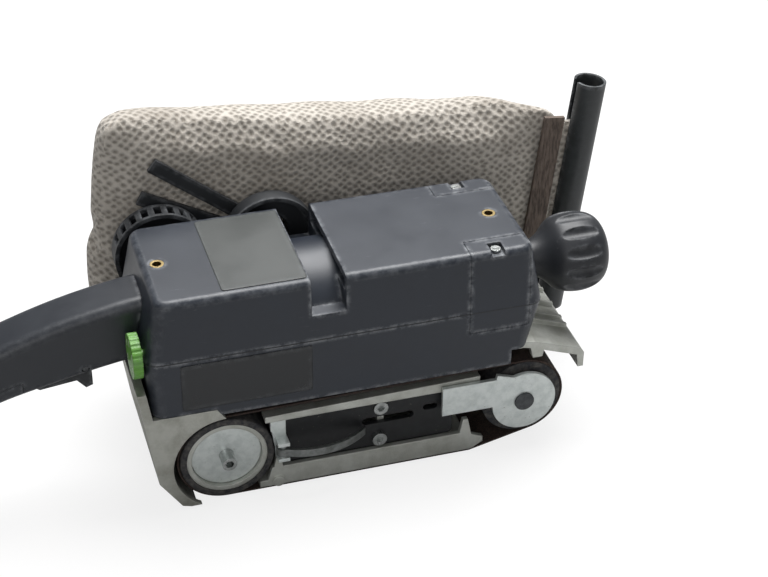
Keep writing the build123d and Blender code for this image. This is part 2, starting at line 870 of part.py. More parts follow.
def toothed_pulley(x, z, radius, bore, teeth):
    """Grooved pulley along Y for the drive belt."""
    with BuildPart() as wheel:
        with BuildSketch(near_plane(pulley_y1)):
            with Locations((x, z)):
                Circle(radius)
                Circle(bore, mode=Mode.SUBTRACT)
                with PolarLocations(radius, teeth):
                    Circle(0.9, mode=Mode.SUBTRACT)
        extrude(amount=pulley_y1 - pulley_y0)
    return wheel.part


def make_drive():
    with BuildPart() as drum_pulley:
        add(toothed_pulley(drum_x, drum_z, drum_pulley_r, drum_shaft_r, 36))
    save(drum_pulley, "drum_pulley")
    with BuildPart() as cross_pulley:
        add(toothed_pulley(cross_x, motor_z, cross_pulley_r, cross_r, 18))
    save(cross_pulley, "cross_pulley")
    with BuildPart() as toothed_belt:
        with BuildSketch(near_plane(pulley_y1 - 0.5)):
            add(drive_loop(running + drive_belt_thick))
            add(drive_loop(running), mode=Mode.SUBTRACT)
        extrude(amount=pulley_y1 - pulley_y0 - 1)
    save(toothed_belt, "toothed_belt")
    crown_face_y = tooth_pitch_r + tooth_depth + 0.4
    with BuildPart() as crown_gear:
        add(disc_along_y(cross_x, motor_z, crown_pitch_r + 3, crown_face_y, crown_face_y + 6))
        with BuildSketch(near_plane(crown_face_y)):
            with Locations((cross_x, motor_z)):
                with PolarLocations(crown_pitch_r, crown_teeth, start_angle=180 / crown_teeth):
                    Rectangle(6, tooth_thick)
        extrude(amount=2 * tooth_depth)
        add(disc_along_y(cross_x, motor_z, cross_r, 0, 60), mode=Mode.SUBTRACT)
    save(crown_gear, "crown_gear")
    with BuildPart() as cross_shaft:
        add(disc_along_y(cross_x, motor_z, cross_r, -8, pulley_y1 - 1))
    save(cross_shaft, "cross_shaft")
    with BuildPart() as pinion:
        with BuildSketch(along_x(cross_x + crown_pitch_r - 4)):
            with Locations((0, motor_z)):
                Circle(tooth_pitch_r - tooth_depth)
                with PolarLocations(tooth_pitch_r - 0.5, pinion_teeth):
                    Rectangle(2 * tooth_depth + 1, tooth_thick)
                Circle(rotor_shaft_r, mode=Mode.SUBTRACT)
        extrude(amount=8)
    save(pinion, "pinion")


def drive_loop(gap):
    """Outline round both pulleys at the given distance."""
    with BuildSketch(Plane.XZ) as loop:
        with Locations((drum_x, drum_z)):
            Circle(drum_pulley_r + gap)
        with Locations((cross_x, motor_z)):
            Circle(cross_pulley_r + gap)
        make_hull()
    return loop.sketch


def disc_along_x(radius, x0, x1):
    """Plain disc on the motor's axis."""
    with BuildPart() as disc:
        with BuildSketch(along_x(x0)):
            with Locations((0, motor_z)):
                Circle(radius)
        extrude(amount=x1 - x0)
    return disc.part


def make_motor():
    with BuildPart() as rotor_shaft:
        add(disc_along_x(rotor_shaft_r, rotor_x0, rotor_x1))
    save(rotor_shaft, "rotor_shaft")
    with BuildPart() as armature:
        add(disc_along_x(armature_r, stator_x0 + 4, stator_x1 - 4))
        add(disc_along_x(armature_r - 4, stator_x0 - 6, stator_x1 + 6))
        with BuildSketch(along_x(stator_x0)):
            with Locations((0, motor_z)):
                with PolarLocations(armature_r, 16):
                    Rectangle(3, 1.4)
        extrude(amount=stator_x1 - stator_x0, mode=Mode.SUBTRACT)
        add(disc_along_x(rotor_shaft_r, rotor_x0, rotor_x1), mode=Mode.SUBTRACT)
    save(armature, "armature")
    with BuildPart() as commutator:
        add(disc_along_x(commutator_r, brush_x - 8, brush_x + 8))
        add(disc_along_x(rotor_shaft_r, rotor_x0, rotor_x1), mode=Mode.SUBTRACT)
    save(commutator, "commutator")
    with BuildPart() as fan:
        add(disc_along_x(fan_r, fan_x0, fan_x0 + 2))
        add(disc_along_x(9, fan_x0, fan_x1))
        with BuildSketch(along_x(fan_x0)):
            with Locations((0, motor_z)):
                with PolarLocations(18, 12):
                    Rectangle(20, 1.6)
        extrude(amount=fan_x1 - fan_x0)
        add(disc_along_x(rotor_shaft_r, rotor_x0, rotor_x1), mode=Mode.SUBTRACT)
    save(fan, "fan")
    with BuildPart() as stator:
        add(disc_along_x(stator_r, stator_x0, stator_x1))
        with Locations((0, 0, motor_z)):
            Box(300, 90, 2 * stator_half, mode=Mode.INTERSECT)
        add(disc_along_x(armature_r + 1, stator_x0, stator_x1), mode=Mode.SUBTRACT)
    save(stator, "stator")
    with BuildPart() as bearing_plates:
        for x in (rear_plate_x, front_plate_x):
            floor = floor_z if x < nose_x - wall - plate_thick else front_floor_z
            with Locations((x + plate_thick / 2, 0, (floor + wall + plate_top) / 2)):
                Box(plate_thick, 60, plate_top - floor - wall)
            add(disc_along_x(bearing_r, x, x + plate_thick), mode=Mode.SUBTRACT)
    save(bearing_plates, "bearing_plates")
    with BuildPart() as ball_bearings:
        for x in (rear_plate_x, front_plate_x):
            add(disc_along_x(bearing_r, x, x + plate_thick))
            add(
                disc_along_x(rotor_shaft_r + running, x, x + plate_thick),
                mode=Mode.SUBTRACT,
            )
        add(bearing_boss(cross_x, motor_z, 31, 38.5, bearing_r, cross_r + running))
        add(bearing_boss(drum_x, drum_z, side_y0, boss_y1 - 0.3, bearing_r + 1, drum_shaft_r + running))
    save(ball_bearings, "ball_bearings")
    inner_wall = half_seam - wall
    with BuildPart() as brushes:
        for side in (-1, 1):
            with Locations((brush_x, side * (commutator_r + running + 8), motor_z)):
                Box(10, 16, 6)
    save(brushes, "brushes")
    with BuildPart() as brush_holders:
        for side in (-1, 1):
            inner_y = commutator_r + 3
            with Locations((brush_x, side * (inner_y + inner_wall) / 2, motor_z)):
                Box(13, inner_wall - inner_y, 9)
            with Locations((brush_x, side * (inner_y + inner_wall) / 2, motor_z)):
                Box(10, inner_wall - inner_y, 6, mode=Mode.SUBTRACT)
    save(brush_holders, "brush_holders")


def make_fork():
    with BuildPart() as front_fork:
        with BuildSketch(near_plane(-cheek_near + cheek_thick)):
            with Locations((roller_x, roller_z)):
                Circle(20)
            with BuildLine():
                Polyline((45.5, 34), (45.5, 54), (78.5, 54), (84, 48), (84, 22), (78.5, 34), close=True)
            make_face()
            with BuildLine():
                Polyline((78, 50), (79.5, 57), (92, 53), (92, 30), close=True)
            make_face()
        extrude(amount=cheek_thick)
        with BuildSketch(near_plane(38)):
            with Locations((roller_x, roller_z)):
                Circle(17)
            with BuildLine():
                Polyline(
                    (fork_bar_x - 4, 36),
                    (fork_bar_x - 4, 49),
                    (roller_x, 49),
                    (roller_x, 22),
                    close=True,
                )
            make_face()
        extrude(amount=-2.5)
        with Locations((fork_bar_x, (38 - cheek_near + cheek_thick) / 2, 42.5)):
            Box(6, 38 + cheek_near - cheek_thick, 13)
        add(rod(rod_r, 0))
        add(disc_along_y(roller_x, roller_z, axle_r, -60, 60), mode=Mode.SUBTRACT)
    save(front_fork, "front_fork")
    with BuildPart() as roller:
        add(disc_along_y(roller_x, roller_z, roller_body_r, -belt_half, belt_half))
        add(disc_along_y(roller_x, roller_z, bearing_r, -belt_half, belt_half), mode=Mode.SUBTRACT)
    save(roller, "roller")
    with BuildPart() as roller_bearings:
        for y0 in (-belt_half + 0.4, belt_half - 10.4):
            add(bearing_boss(roller_x, roller_z, y0, y0 + 10, bearing_r, axle_r + running))
    save(roller_bearings, "roller_bearings")
    with BuildPart() as roller_axle:
        add(disc_along_y(roller_x, roller_z, axle_r, -cheek_near - 1.2, belt_half + 4.0))
    save(roller_axle, "roller_axle")


def make_fork_spring():
    direction = Vector(-cos(radians(run_slope)), 0, -sin(radians(run_slope)))
    start = Vector(fork_bar_x, 0, fork_bar_z) + direction * 24
    length = 26.5
    with BuildPart() as fork_spring:
        with BuildLine() as coil:
            Helix(pitch=4.4, height=length, radius=7.4, center=start, direction=direction)
        with BuildSketch(Plane(origin=coil.line @ 0, z_dir=coil.line % 0)):
            Circle(1.1)
        sweep(is_frenet=True)
    save(fork_spring, "fork_spring")


def cover_sketch(inset):
    """Outline of the drive cover, drawn in by inset."""
    with BuildSketch(Plane.XZ) as outline:
        with Locations((drum_x, drum_z)):
            Circle(cover_low_r - inset)
        with Locations((cover_top_x, cover_top_z)):
            Circle(cover_top_r - inset)
        make_hull()
    return outline.sketch


def make_belt_cover():
    with BuildPart() as belt_cover:
        with BuildSketch(near_plane(cover_y)):
            add(cover_sketch(0))
        extrude(amount=cover_y - half_seam)
        fillet(belt_cover.faces().sort_by(Axis.Y)[-1].edges(), 3)
        with BuildSketch(near_plane(cover_y - 2.2)):
            add(cover_sketch(2.5))
        extrude(amount=cover_y - half_seam, mode=Mode.SUBTRACT)
        with BuildSketch(near_plane(cover_y - 4.5)):
            with Locations((cover_top_x, cover_top_z)):
                with PolarLocations(cover_top_r, 9, start_angle=25, angular_range=130, endpoint=True):
                    Rectangle(9, 4)
        extrude(amount=8, mode=Mode.SUBTRACT)
        with Locations((0, 0, rear_floor_z)):
            Box(
                400, 2 * side_y1, 100,
                align=(Align.CENTER, Align.CENTER, Align.MAX),
                mode=Mode.SUBTRACT,
            )
    save(belt_cover, "belt_cover")


def make_dust_outlet():
    with BuildPart() as dust_elbow:
        add(disc_along_y(elbow_x, elbow_z, elbow_r, half_seam, elbow_y))
        fillet(dust_elbow.faces().sort_by(Axis.Y)[-1].edges(), 7)
        add(disc_along_y(elbow_x, elbow_z, spigot_r, elbow_y - 1, spigot_end))
        add(disc_along_y(elbow_x, elbow_z, elbow_r - 2.5, 40, elbow_y - 8), mode=Mode.SUBTRACT)
        add(disc_along_y(elbow_x, elbow_z, spigot_r - 2, 40, spigot_end), mode=Mode.SUBTRACT)
    save(dust_elbow, "dust_elbow")
    with BuildPart() as bag_clip:
        with BuildSketch(near_plane(clip_y1)):
            with Locations((elbow_x, elbow_z)):
                Circle(21)
            for start, end in (((-44, 127), (-101.5, 172.5)), ((-42, 115), (-110, 152))):
                length = hypot(end[0] - start[0], end[1] - start[1])
                turn = degrees(atan2(end[1] - start[1], end[0] - start[0]))
                with Locations(Location(((start[0] + end[0]) / 2, (start[1] + end[1]) / 2), turn)):
                    Rectangle(length, 8.5)
            with Locations((elbow_x, elbow_z)):
                Circle(spigot_r, mode=Mode.SUBTRACT)
        extrude(amount=clip_y1 - clip_y0)
    save(bag_clip, "bag_clip")


def bag_plane(y):
    """Plane of the tilted bag at the given y, facing -Y."""
    tilt = radians(bag_tilt)
    return Plane(origin=(bag_x, y, bag_z), x_dir=(cos(tilt), 0, -sin(tilt)), z_dir=(0, -1, 0))


def make_dust_bag():
    with BuildPart() as dust_bag:
        with BuildSketch(bag_plane(bag_far_y)):
            RectangleRounded(bag_length, bag_height, 20)
        extrude(amount=bag_far_y - bag_near_y)
        faces = dust_bag.faces().sort_by(Axis.Y)
        fillet(faces[0].edges() + faces[-1].edges(), 14)
        with BuildSketch(bag_plane(tube_y + 1.5)):
            with Locations((bag_length / 2 + 1, 0)):
                Rectangle(18, bag_height - 30)
        extrude(amount=3)
        with BuildSketch(bag_plane(tube_y + 2)):
            with Locations((bag_length / 2 + 5.5, 0)):
                Rectangle(9, bag_height - 30)
        extrude(amount=4, mode=Mode.ADD)
        add(disc_along_y(elbow_x, elbow_z, 19.4, 50, spigot_end + 6), mode=Mode.SUBTRACT)
    save(dust_bag, "dust_bag")
    with BuildPart() as bag_collar:
        add(bearing_boss(elbow_x, elbow_z, bag_near_y, spigot_end + 6, 19.4, spigot_r + 0.4))
    save(bag_collar, "bag_collar")
    with BuildPart() as clamp_strip:
        with BuildSketch(bag_plane(bag_near_y)):
            with Locations((131, -4)):
                Rectangle(13, 136)
        extrude(amount=2.5)
    save(clamp_strip, "clamp_strip")
    with BuildPart() as clamp_tube:
        tilt = radians(bag_tilt)
        along = Vector(sin(tilt), 0, cos(tilt))
        across = Vector(cos(tilt), 0, -sin(tilt))
        foot = Vector(bag_x, tube_y, bag_z) + across * tube_at + along * tube_low
        with BuildSketch(Plane(origin=foot, x_dir=across, z_dir=along)):
            Circle(tube_r)
            Circle(tube_r - tube_wall, mode=Mode.SUBTRACT)
            with Locations((-tube_r, 0)):
                Rectangle(tube_r, 5, mode=Mode.SUBTRACT)
        extrude(amount=tube_high - tube_low)
    save(clamp_tube, "clamp_tube")


for make in (
    make_upper_housing,
    make_lower_housing,
    make_brush_covers,
    make_thread_inserts,
    make_labels,
    make_handle,
    make_cord_inlet,
    make_switch,
    make_speed_control,
    make_front_knob,
    make_sanding_belt,
    make_main_frame,
    make_frame_trim,
    make_lever,
    make_platen,
    make_guards,
    make_drum,
    make_drive,
    make_motor,
    make_fork,
    make_fork_spring,
    make_belt_cover,
    make_dust_outlet,
    make_dust_bag,
):
    make()
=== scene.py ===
from math import cos, radians, sin

import bmesh
import bpy
from mathutils import Matrix, Vector, noise


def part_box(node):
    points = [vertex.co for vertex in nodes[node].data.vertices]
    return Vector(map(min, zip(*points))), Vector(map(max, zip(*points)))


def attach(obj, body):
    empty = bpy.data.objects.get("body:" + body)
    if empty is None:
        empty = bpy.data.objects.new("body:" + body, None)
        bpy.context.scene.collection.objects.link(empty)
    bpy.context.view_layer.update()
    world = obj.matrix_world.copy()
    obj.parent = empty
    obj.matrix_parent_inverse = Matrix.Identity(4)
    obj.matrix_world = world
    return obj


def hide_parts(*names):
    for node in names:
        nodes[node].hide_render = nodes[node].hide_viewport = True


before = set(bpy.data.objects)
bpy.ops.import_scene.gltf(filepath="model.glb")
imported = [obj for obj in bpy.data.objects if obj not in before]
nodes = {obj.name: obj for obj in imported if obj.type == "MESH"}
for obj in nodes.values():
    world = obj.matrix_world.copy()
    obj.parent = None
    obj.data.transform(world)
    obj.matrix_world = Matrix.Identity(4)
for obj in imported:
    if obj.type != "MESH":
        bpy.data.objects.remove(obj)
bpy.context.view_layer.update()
MM = 0.001


# ---- small helpers ----------------------------------------------------------------------
def linear(code):
    """sRGB hex colour as linear RGBA."""
    parts = [int(code[i:i + 2], 16) / 255 for i in (1, 3, 5)]
    values = [c / 12.92 if c <= 0.04045 else ((c + 0.055) / 1.055) ** 2.4 for c in parts]
    return (*values, 1.0)


def add_node(tree, kind, links=None, **settings):
    """Adds a node, sets its fields, and links or sets its inputs."""
    made = tree.nodes.new(kind)
    for field, value in settings.items():
        setattr(made, field, value)
    for socket, value in (links or {}).items():
        if isinstance(value, bpy.types.NodeSocket):
            tree.links.new(value, made.inputs[socket])
        else:
            made.inputs[socket].default_value = value
    return made


def new_material(name):
    """Empty node material with its output node."""
    material = bpy.data.materials.new(name)
    material.use_nodes = True
    material.node_tree.nodes.clear()
    return material, material.node_tree, material.node_tree.nodes.new("ShaderNodeOutputMaterial")


def noise_at(tree, place, period, detail=3.0, rough=0.55, stretch=None):
    """Noise whose features are about period metres wide."""
    if stretch:
        place = add_node(tree, "ShaderNodeMapping", {"Vector": place, "Scale": stretch}).outputs[0]
    made = add_node(
        tree, "ShaderNodeTexNoise",
        {"Vector": place, "Scale": 1 / period, "Detail": detail, "Roughness": rough},
    )
    return made.outputs["Fac"]


def ramp(tree, value, low, high, start=0.0, end=1.0):
    """Value remapped from low..high to start..end, clamped."""
    made = add_node(
        tree, "ShaderNodeMapRange",
        {"Value": value, "From Min": low, "From Max": high, "To Min": start, "To Max": end},
    )
    return made.outputs["Result"]


def mix_colour(tree, factor, first, second):
    made = add_node(tree, "ShaderNodeMix", data_type="RGBA")
    for index, value in ((0, factor), (6, first), (7, second)):
        if isinstance(value, bpy.types.NodeSocket):
            tree.links.new(value, made.inputs[index])
        else:
            made.inputs[index].default_value = value
    return made.outputs[2]


def math_node(tree, operation, first, second=0.0):
    made = add_node(tree, "ShaderNodeMath", {0: first, 1: second}, operation=operation)
    return made.outputs[0]


def object_place(tree):
    return add_node(tree, "ShaderNodeTexCoord").outputs["Object"]


def edge_mask(tree, radius, start=0.985, full=0.86):
    """White on outside and inside edges, where a part is rubbed first."""
    soft = add_node(tree, "ShaderNodeBevel", {"Radius": radius}, samples=4).outputs["Normal"]
    true = add_node(tree, "ShaderNodeNewGeometry").outputs["Normal"]
    dot = add_node(tree, "ShaderNodeVectorMath", {0: soft, 1: true}, operation="DOT_PRODUCT")
    return soft, ramp(tree, dot.outputs["Value"], start, full)


# ---- materials -------------------------------------------------------------------------------
def moulded_plastic(name, colour, worn, roughness, grain=0.0007, wear=1.0):
    """Injection-moulded nylon: fine spark-eroded grain, pale scuffs on rubbed edges."""
    material, tree, output = new_material(name)
    place = object_place(tree)
    soft = edge_mask(tree, 1.2 * MM)[0]
    edges = edge_mask(tree, 4.0 * MM, 0.9985, 0.955)[1]
    fine = noise_at(tree, place, grain, 2.0)
    cloud = noise_at(tree, place, 0.035, 4.0, 0.6)
    scuff = noise_at(tree, place, 0.006, 6.0, 0.7)
    streak = noise_at(tree, place, 0.0016, 3.0, 0.6, stretch=(0.12, 1.0, 1.0))
    base = mix_colour(tree, ramp(tree, cloud, 0.35, 0.7, 0.0, 0.35), linear(colour), linear(worn))
    rubbed = math_node(tree, "MULTIPLY", edges, ramp(tree, scuff, 0.42, 0.62, 0.0, 0.9 * wear))
    marks = ramp(tree, streak, 0.67, 0.76, 0.0, 0.35 * wear)
    patch = ramp(tree, noise_at(tree, place, 0.022, 3.0), 0.5, 0.66)
    marks = math_node(tree, "MULTIPLY", marks, patch)
    dusted = mix_colour(tree, math_node(tree, "MAXIMUM", rubbed, marks), base, linear("#8d9094"))
    gloss = ramp(tree, cloud, 0.3, 0.75, roughness - 0.05, roughness + 0.08)
    bump = add_node(
        tree, "ShaderNodeBump",
        {"Strength": 0.25, "Distance": 0.12 * MM, "Height": fine, "Normal": soft},
    )
    shader = add_node(
        tree, "ShaderNodeBsdfPrincipled",
        {"Base Color": dusted, "Roughness": gloss, "IOR": 1.5, "Normal": bump.outputs[0]},
    )
    tree.links.new(shader.outputs[0], output.inputs[0])
    return material


def cast_metal(name, colour, dirt, roughness, grain=0.0014, depth=0.25, metallic=0.75):
    """Sand or die cast aluminium, tumbled: matt grainy skin with grey dust in uneven patches."""
    material, tree, output = new_material(name)
    place = object_place(tree)
    soft, edges = edge_mask(tree, 1.0 * MM)
    grains = noise_at(tree, place, grain, 5.0, 0.65)
    cloud = noise_at(tree, place, 0.018, 5.0, 0.6)
    base = mix_colour(tree, ramp(tree, cloud, 0.38, 0.68, 0.0, 0.8), linear(colour), linear(dirt))
    bright = mix_colour(tree, math_node(tree, "MULTIPLY", edges, 0.5), base, linear("#dcddd8"))
    bump = add_node(
        tree, "ShaderNodeBump",
        {"Strength": 0.55, "Distance": depth * MM, "Height": grains, "Normal": soft},
    )
    shader = add_node(
        tree, "ShaderNodeBsdfPrincipled",
        {
            "Base Color": bright, "Metallic": metallic,
            "Roughness": ramp(tree, grains, 0.3, 0.7, roughness - 0.06, roughness + 0.1),
            "Normal": bump.outputs[0],
        },
    )
    tree.links.new(shader.outputs[0], output.inputs[0])
    return material


def plated_steel(name, colour, stain, roughness, metallic=1.0):
    """Zinc-plated pressed steel: bright, slightly mottled plating with faint rolling marks."""
    material, tree, output = new_material(name)
    place = object_place(tree)
    soft, edges = edge_mask(tree, 0.5 * MM)
    spangle = noise_at(tree, place, 0.005, 4.0, 0.6)
    rolled = noise_at(tree, place, 0.0008, 2.0, 0.5, stretch=(0.08, 1.0, 1.0))
    spots = noise_at(tree, place, 0.0022, 3.0, 0.6)
    base = mix_colour(tree, ramp(tree, spangle, 0.4, 0.68, 0.0, 0.7), linear(colour), linear(stain))
    base = mix_colour(tree, ramp(tree, spots, 0.68, 0.74, 0.0, 0.5), base, linear("#6f6b62"))
    bump = add_node(
        tree, "ShaderNodeBump",
        {"Strength": 0.12, "Distance": 0.05 * MM, "Height": rolled, "Normal": soft},
    )
    shader = add_node(
        tree, "ShaderNodeBsdfPrincipled",
        {
            "Base Color": base, "Metallic": metallic,
            "Roughness": ramp(tree, spangle, 0.3, 0.7, roughness - 0.05, roughness + 0.1),
            "Normal": bump.outputs[0],
        },
    )
    tree.links.new(shader.outputs[0], output.inputs[0])
    return material


def tyre_rubber(name, colour, dust):
    """Moulded rubber, dusted grey-brown by sanding."""
    material, tree, output = new_material(name)
    place = object_place(tree)
    dusty = noise_at(tree, place, 0.004, 5.0, 0.7)
    fine = noise_at(tree, place, 0.0006, 2.0)
    base = mix_colour(tree, ramp(tree, dusty, 0.42, 0.7, 0.0, 0.6), linear(colour), linear(dust))
    bump = add_node(
        tree, "ShaderNodeBump", {"Strength": 0.4, "Distance": 0.15 * MM, "Height": fine}
    )
    shader = add_node(
        tree, "ShaderNodeBsdfPrincipled",
        {"Base Color": base, "Roughness": 0.72, "Normal": bump.outputs[0]},
    )
    tree.links.new(shader.outputs[0], output.inputs[0])
    return material


def abrasive_cloth():
    """Aluminium-oxide belt, about 80 grit: red-brown grains glued on a brown cotton cloth."""
    material, tree, output = new_material("abrasive_cloth")
    place = object_place(tree)
    grit = add_node(tree, "ShaderNodeTexVoronoi", {"Vector": place, "Scale": 1 / (0.6 * MM)})
    load = noise_at(tree, place, 0.012, 4.0, 0.6)
    base = mix_colour(
        tree, ramp(tree, grit.outputs["Distance"], 0.1, 0.6), linear("#4a342b"), linear("#221a17")
    )
    base = mix_colour(tree, ramp(tree, load, 0.5, 0.72, 0.0, 0.5), base, linear("#5c5147"))
    bump = add_node(
        tree, "ShaderNodeBump",
        {"Strength": 0.8, "Distance": 0.2 * MM, "Height": grit.outputs["Distance"]},
    )
    bump.invert = True
    shader = add_node(
        tree, "ShaderNodeBsdfPrincipled",
        {"Base Color": base, "Roughness": 0.85, "Normal": bump.outputs[0]},
    )
    tree.links.new(shader.outputs[0], output.inputs[0])
    return material


def waffle_knit():
    """Cotton waffle-knit bag cloth: raised ribs round square dimples about 5 mm apart, dusty, with
    painted shade in the dimples.
    """
    material, tree, output = new_material("waffle_knit_cotton")
    uv = add_node(tree, "ShaderNodeUVMap", uv_map="cloth").outputs[0]
    cell = 4.4 * MM
    wobble = add_node(
        tree, "ShaderNodeTexNoise", {"Vector": uv, "Scale": 1 / 0.02, "Detail": 2.0}
    ).outputs["Color"]
    shifted = add_node(
        tree, "ShaderNodeVectorMath", {0: wobble, 1: (0.5, 0.5, 0.5)}, operation="SUBTRACT"
    ).outputs[0]
    shifted = add_node(
        tree, "ShaderNodeVectorMath", {0: shifted, "Scale": 3.0 * MM}, operation="SCALE"
    ).outputs[0]
    moved = add_node(
        tree, "ShaderNodeVectorMath", {0: uv, 1: shifted}, operation="ADD"
    ).outputs[0]
    turned = add_node(
        tree, "ShaderNodeMapping",
        {"Vector": moved, "Rotation": (0, 0, radians(40)), "Scale": (1.0, 1.18, 1.0)},
    ).outputs[0]
    hollows = add_node(
        tree, "ShaderNodeTexVoronoi",
        {"Vector": turned, "Scale": 1 / cell, "Randomness": 0.42, "Smoothness": 0.5},
        voronoi_dimensions="2D", feature="SMOOTH_F1",
    ).outputs["Distance"]
    dimple = ramp(tree, hollows, 0.12, 0.55)
    yarn = noise_at(tree, moved, 0.0007, 3.0, 0.6)
    tuft = noise_at(tree, moved, 0.0024, 3.0, 0.6)
    height = math_node(tree, "ADD", dimple, math_node(tree, "MULTIPLY", tuft, 1.0))
    height = math_node(tree, "ADD", height, math_node(tree, "MULTIPLY", yarn, 0.5))
    soil = noise_at(tree, uv, 0.05, 4.0, 0.6)
    # painted shade: colour follows the knit's height, so the dimples and low yarn get the darker
    # colour
    base = mix_colour(tree, ramp(tree, height, 0.75, 1.65), linear("#8b847a"), linear("#cbc4ba"))
    base = mix_colour(tree, ramp(tree, soil, 0.45, 0.75, 0.0, 0.5), base, linear("#857b6f"))
    bump = add_node(
        tree, "ShaderNodeBump", {"Strength": 0.9, "Distance": 1.1 * MM, "Height": height}
    )
    shader = add_node(
        tree, "ShaderNodeBsdfPrincipled",
        {"Base Color": base, "Roughness": 0.95, "Normal": bump.outputs[0]},
    )
    shader.inputs["Sheen Weight"].default_value = 0.25
    shader.inputs["Sheen Roughness"].default_value = 0.6
    tree.links.new(shader.outputs[0], output.inputs[0])
    return material


def woven_strip():
    """Brown-grey bonded fibre strip that grips the bag's hem."""
    material, tree, output = new_material("bonded_fibre_strip")
    place = object_place(tree)
    fibre = noise_at(tree, place, 0.001, 4.0, 0.6, stretch=(1.0, 1.0, 0.15))
    base = mix_colour(tree, ramp(tree, fibre, 0.35, 0.65), linear("#4a403a"), linear("#77695f"))
    bump = add_node(
        tree, "ShaderNodeBump", {"Strength": 0.5, "Distance": 0.2 * MM, "Height": fibre}
    )
    shader = add_node(
        tree, "ShaderNodeBsdfPrincipled",
        {"Base Color": base, "Roughness": 0.8, "Normal": bump.outputs[0]},
    )
    tree.links.new(shader.outputs[0], output.inputs[0])
    return material


housing_nylon = moulded_plastic("housing_nylon", "#242932", "#333943", 0.4)
grip_nylon = moulded_plastic("grip_nylon", "#25282e", "#33373d", 0.4, wear=0.6)
knob_nylon = moulded_plastic("knob_nylon", "#212327", "#303237", 0.42, wear=0.5)
black_nylon = moulded_plastic("black_nylon", "#232528", "#35383b", 0.5, wear=0.5)
tube_nylon = moulded_plastic("tube_nylon", "#2f3233", "#43474a", 0.4, wear=0.8)
green_nylon = moulded_plastic("green_nylon", "#5f9c35", "#7ab350", 0.4, wear=0.3)
label_film = moulded_plastic("printed_film", "#3f4241", "#4b4e4d", 0.35, grain=0.003, wear=0.5)
side_film = moulded_plastic("dark_film", "#1f2124", "#292c2f", 0.3, grain=0.003, wear=0.5)
board_resin = moulded_plastic("board_resin", "#1f5138", "#2c6647", 0.5, wear=0.1)
cast_aluminium = cast_metal("tumbled_cast_aluminium", "#cfd1cb", "#a6a79e", 0.5)
rough_casting = cast_metal("rough_cast_aluminium", "#bcbdb6", "#8b8a80", 0.55, 0.0028, 0.6)
zinc_plate = plated_steel("zinc_plated_steel", "#dfe5e3", "#c2cac8", 0.36, metallic=0.55)
screw_steel = plated_steel("machined_steel", "#b9bcbb", "#8f9391", 0.28)
dark_steel = plated_steel("oiled_steel", "#5b5d5f", "#3e4042", 0.4)
black_paint = plated_steel("black_stove_enamel", "#191a1c", "#26282a", 0.45, metallic=0.1)
worn_steel = plated_steel("handled_steel", "#8d908f", "#5f615f", 0.38)
brass = plated_steel("turned_brass", "#a89468", "#7d6d4f", 0.36)
copper = plated_steel("drawn_copper", "#b06a42", "#8a4f30", 0.35)
rubber = tyre_rubber("drum_rubber", "#25262a", "#6c6862")
belt_cloth = abrasive_cloth()
knit = waffle_knit()
strip_fibre = woven_strip()

FINISHES = {
    housing_nylon: ["upper_housing", "lower_housing", "brush_cover_near", "brush_cover_far"],
    grip_nylon: ["handle_grip", "handle_cover"],
    knob_nylon: ["front_knob"],
    black_nylon: [
        "cord_inlet", "switch_block", "trigger", "fan", "bearing_plates", "belt_cover",
        "dust_elbow", "bag_clip", "bag_collar", "platen_pad", "brushes",
    ],
    tube_nylon: ["clamp_tube"],
    green_nylon: ["speed_dial"],
    label_film: ["top_label"],
    side_film: ["side_label"],
    board_resin: ["speed_board"],
    cast_aluminium: [
        "main_frame", "upper_rail", "platen_shoe", "nose_guard", "drum_core",
    ],
    rough_casting: ["rear_guard"],
    zinc_plate: ["lever_bracket", "drum_dish", "front_fork"],
    worn_steel: ["tension_lever"],
    screw_steel: [
        "cover_screws", "knob_bolt", "frame_screws", "drum_shaft",
        "ball_bearings", "roller_bearings",
    ],
    dark_steel: [
        "drum_pulley", "cross_pulley", "crown_gear", "cross_shaft", "pinion", "rotor_shaft",
        "armature", "stator", "fork_spring", "roller_axle",
    ],
    black_paint: ["inner_plate"],
    brass: ["thread_inserts", "brush_holders"],
    copper: ["commutator"],
    rubber: ["drum_tyre", "toothed_belt", "roller"],
    belt_cloth: ["sanding_belt"],
    knit: ["dust_bag"],
    strip_fibre: ["clamp_strip"],
}
for material, names in FINISHES.items():
    for name in names:
        mesh = nodes[name].data
        mesh.materials.clear()
        mesh.materials.append(material)


# ---- camera and light --------------------------------------------------------------------------
CAMERA_LENS = 85.85            # mm, on a 36 mm wide sensor
CAMERA_PLACE = Vector((-245.5, -848.1, 711.6)) * MM
CAMERA_RIGHT = Vector((0.95636, -0.29191, 0.01254))
CAMERA_UP = Vector((0.15506, 0.54343, 0.82501))


def add_camera():
    data = bpy.data.cameras.new("camera")
    data.lens = CAMERA_LENS
    data.sensor_width = 36.0
    data.clip_start = 0.05
    camera = bpy.data.objects.new("camera", data)
    bpy.context.scene.collection.objects.link(camera)
    back = CAMERA_RIGHT.cross(CAMERA_UP)
    turn = Matrix((CAMERA_RIGHT, CAMERA_UP, back)).transposed()
    camera.matrix_world = Matrix.Translation(CAMERA_PLACE) @ turn.to_4x4()
    bpy.context.scene.camera = camera


def add_area(name, place, aim, size, power):
    """Square soft lamp pointing at aim."""
    data = bpy.data.lights.new(name, "AREA")
    data.size = size
    data.energy = power
    lamp = bpy.data.objects.new(name, data)
    bpy.context.scene.collection.objects.link(lamp)
    lamp.location = place
    lamp.rotation_euler = (Vector(aim) - Vector(place)).to_track_quat("-Z", "Y").to_euler()


